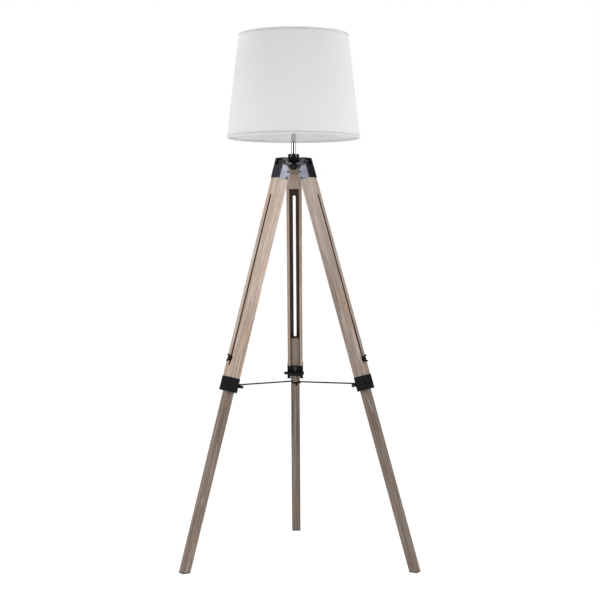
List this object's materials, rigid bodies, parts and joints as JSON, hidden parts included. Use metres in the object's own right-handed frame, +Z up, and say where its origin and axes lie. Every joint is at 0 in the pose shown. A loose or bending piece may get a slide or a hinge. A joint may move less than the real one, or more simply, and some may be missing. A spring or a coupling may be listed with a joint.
{
  "type": "tripod floor lamp",
  "caption": "Floor lamp with a tapered round fabric shade on a chrome stem, standing on three telescopic grey-washed timber legs tied by thin spreader rods.",
  "frame": {"origin": "on the floor, below the middle of the lamp's bounding box seen from above; the stem axis stands at x = -16.554 mm, y = -87.433 mm", "axes": "+Z up along the stem, towards the shade; -Y towards the front of the lamp, the side with the open gap between two legs; +X to the right seen from the front"},
  "size_m": [0.6662, 0.5734, 1.493],
  "materials": {
    "grey_washed_oak": "grey-washed open-grain oak, matt",
    "leg_cap_metal": "black nickel plated sheet steel, polished",
    "screw_steel": "blackened steel",
    "black_plastic": "black moulded plastic, fine grain",
    "black_knob": "black moulded plastic, satin",
    "black_hardware": "black oxide, satin",
    "foot_rubber": "black rubber, matt",
    "spreader_steel": "black enamelled steel wire",
    "hub_metal": "black nickel plated casting",
    "chrome": "polished chrome",
    "zinc_steel": "zinc plated",
    "holder_plastic": "white thermoplastic",
    "contact_ceramic": "white ceramic",
    "bulb_glass": "opal glass",
    "white_wire": "white powder coat",
    "shade_cloth": "off-white woven cotton laminated on a translucent film",
    "shade_hem": "off-white rolled hem tape"
  },
  "bodies": {
    "stand": {"bulb_base": "zinc_steel", "bulb_glass": "bulb_glass", "cord_bush": "black_plastic", "hinge_bolt_left": "screw_steel", "hinge_bolt_rear": "screw_steel", "hinge_bolt_right": "screw_steel", "holder_body": "holder_plastic", "holder_cap": "holder_plastic", "holder_contact": "contact_ceramic", "hub": "hub_metal", "shade_carrier": "white_wire", "shade_cloth": "shade_cloth", "shade_hem_lower": "shade_hem", "shade_hem_upper": "shade_hem", "shade_nut": "holder_plastic", "shade_ring_lower": "white_wire", "shade_ring_upper": "white_wire", "stem": "chrome", "stem_nipple": "zinc_steel", "under_nut": "hub_metal"},
    "ring_nut": {"ring_nut": "black_knob"},
    "spreader_centre": {"spreader_disc": "spreader_steel", "spreader_nut": "spreader_steel"},
    "leg_left": {"upper_leg_left": "grey_washed_oak", "leg_cap_left": "leg_cap_metal", "cap_screws_left": "screw_steel", "sleeve_left": "black_plastic", "cross_bolt_left": "screw_steel"},
    "lower_left": {"lower_leg_left": "grey_washed_oak", "foot_pad_left": "foot_rubber", "wing_bolt_left": "screw_steel", "wing_washer_left": "black_hardware"},
    "wing_nut_left": {"wing_nut_left": "black_hardware"},
    "knob_left": {"cross_knob_left": "black_knob"},
    "rod_left": {"spreader_rod_left": "spreader_steel"},
    "leg_right": {"upper_leg_right": "grey_washed_oak", "leg_cap_right": "leg_cap_metal", "cap_screws_right": "screw_steel", "sleeve_right": "black_plastic", "cross_bolt_right": "screw_steel"},
    "lower_right": {"lower_leg_right": "grey_washed_oak", "foot_pad_right": "foot_rubber", "wing_bolt_right": "screw_steel", "wing_washer_right": "black_hardware"},
    "wing_nut_right": {"wing_nut_right": "black_hardware"},
    "knob_right": {"cross_knob_right": "black_knob"},
    "rod_right": {"spreader_rod_right": "spreader_steel"},
    "leg_rear": {"upper_leg_rear": "grey_washed_oak", "leg_cap_rear": "leg_cap_metal", "cap_screws_rear": "screw_steel", "sleeve_rear": "black_plastic", "cross_bolt_rear": "screw_steel"},
    "lower_rear": {"lower_leg_rear": "grey_washed_oak", "foot_pad_rear": "foot_rubber", "wing_bolt_rear": "screw_steel", "wing_washer_rear": "black_hardware"},
    "wing_nut_rear": {"wing_nut_rear": "black_hardware"},
    "knob_rear": {"cross_knob_rear": "black_knob"},
    "rod_rear": {"spreader_rod_rear": "spreader_steel"}
  },
  "joints": [
    {"name": "fold_left", "type": "hinge", "parent": "stand", "child": "leg_left", "pos_m": [-0.05073, -0.10821, 1.133], "axis": [0.5195, -0.8545, 0], "range_deg": [0, 10.5]},
    {"name": "extend_left", "type": "slide", "parent": "leg_left", "child": "lower_left", "axis": [0.2327, 0.1415, 0.9622], "range_m": [-0.008, 0.45]},
    {"name": "loosen_wing_left", "type": "hinge", "parent": "lower_left", "child": "wing_nut_left", "pos_m": [-0.1939, -0.19526, 0.58497], "axis": [-0.8222, -0.4999, 0.2723], "range_deg": [0, 360]},
    {"name": "loosen_knob_left", "type": "hinge", "parent": "leg_left", "child": "knob_left", "pos_m": [-0.16146, -0.20831, 0.50468], "axis": [0.5195, -0.8545, 0], "range_deg": [0, 360]},
    {"name": "swing_rod_left", "type": "hinge", "parent": "leg_left", "child": "rod_left", "pos_m": [-0.17601, -0.18438, 0.50468], "axis": [0.5195, -0.8545, 0], "range_deg": [0, 58.8]},
    {"name": "fold_right", "type": "hinge", "parent": "stand", "child": "leg_right", "pos_m": [0.01883, -0.10609, 1.133], "axis": [0.4664, 0.8846, 0], "range_deg": [0, 10.5]},
    {"name": "extend_right", "type": "slide", "parent": "leg_right", "child": "lower_right", "axis": [-0.2586, 0.1364, 0.9563], "range_m": [-0.008, 0.45]},
    {"name": "loosen_wing_right", "type": "hinge", "parent": "lower_right", "child": "wing_nut_right", "pos_m": [0.17899, -0.19053, 0.58183], "axis": [0.8459, -0.446, 0.2924], "range_deg": [0, 360]},
    {"name": "loosen_knob_right", "type": "hinge", "parent": "leg_right", "child": "knob_right", "pos_m": [0.17319, -0.15582, 0.50789], "axis": [0.4664, 0.8846, 0], "range_deg": [0, 360]},
    {"name": "swing_rod_right", "type": "hinge", "parent": "leg_right", "child": "rod_right", "pos_m": [0.16014, -0.18059, 0.50789], "axis": [0.4664, 0.8846, 0], "range_deg": [0, 58.8]},
    {"name": "fold_rear", "type": "hinge", "parent": "stand", "child": "leg_rear", "pos_m": [-0.01551, -0.04745, 1.133], "axis": [-0.9997, 0.0262, 0], "range_deg": [0, 10.5]},
    {"name": "extend_rear", "type": "slide", "parent": "leg_rear", "child": "lower_rear", "axis": [-0.0073, -0.2806, 0.9598], "range_m": [-0.008, 0.45]},
    {"name": "loosen_wing_rear", "type": "hinge", "parent": "lower_rear", "child": "wing_nut_rear", "pos_m": [-0.01098, 0.12562, 0.5837], "axis": [0.0251, 0.9595, 0.2807], "range_deg": [0, 360]},
    {"name": "loosen_knob_rear", "type": "hinge", "parent": "leg_rear", "child": "knob_rear", "pos_m": [-0.03957, 0.10337, 0.5127], "axis": [-0.9997, 0.0262, 0], "range_deg": [0, 360]},
    {"name": "swing_rod_rear", "type": "hinge", "parent": "leg_rear", "child": "rod_rear", "pos_m": [-0.01158, 0.10263, 0.5127], "axis": [-0.9997, 0.0262, 0], "range_deg": [0, 58.8]},
    {"name": "lift_spreader_centre", "type": "slide", "parent": "stand", "child": "spreader_centre", "axis": [0, 0, 1], "range_m": [0, 0.1366]},
    {"name": "turn_ring_nut", "type": "hinge", "parent": "stand", "child": "ring_nut", "pos_m": [-0.01655, -0.08743, 1.1435], "axis": [0, 0, 1], "range_deg": [0, 360]}
  ],
  "couplings": [
    {"joint": "swing_rod_left", "follows": "fold_left", "ratio": 5.6},
    {"joint": "swing_rod_right", "follows": "fold_left", "ratio": 5.6},
    {"joint": "fold_right", "follows": "fold_left", "ratio": 1},
    {"joint": "swing_rod_rear", "follows": "fold_left", "ratio": 5.6},
    {"joint": "fold_rear", "follows": "fold_left", "ratio": 1},
    {"joint": "lift_spreader_centre", "follows": "fold_left", "m_per_rad": 0.74484}
  ]
}
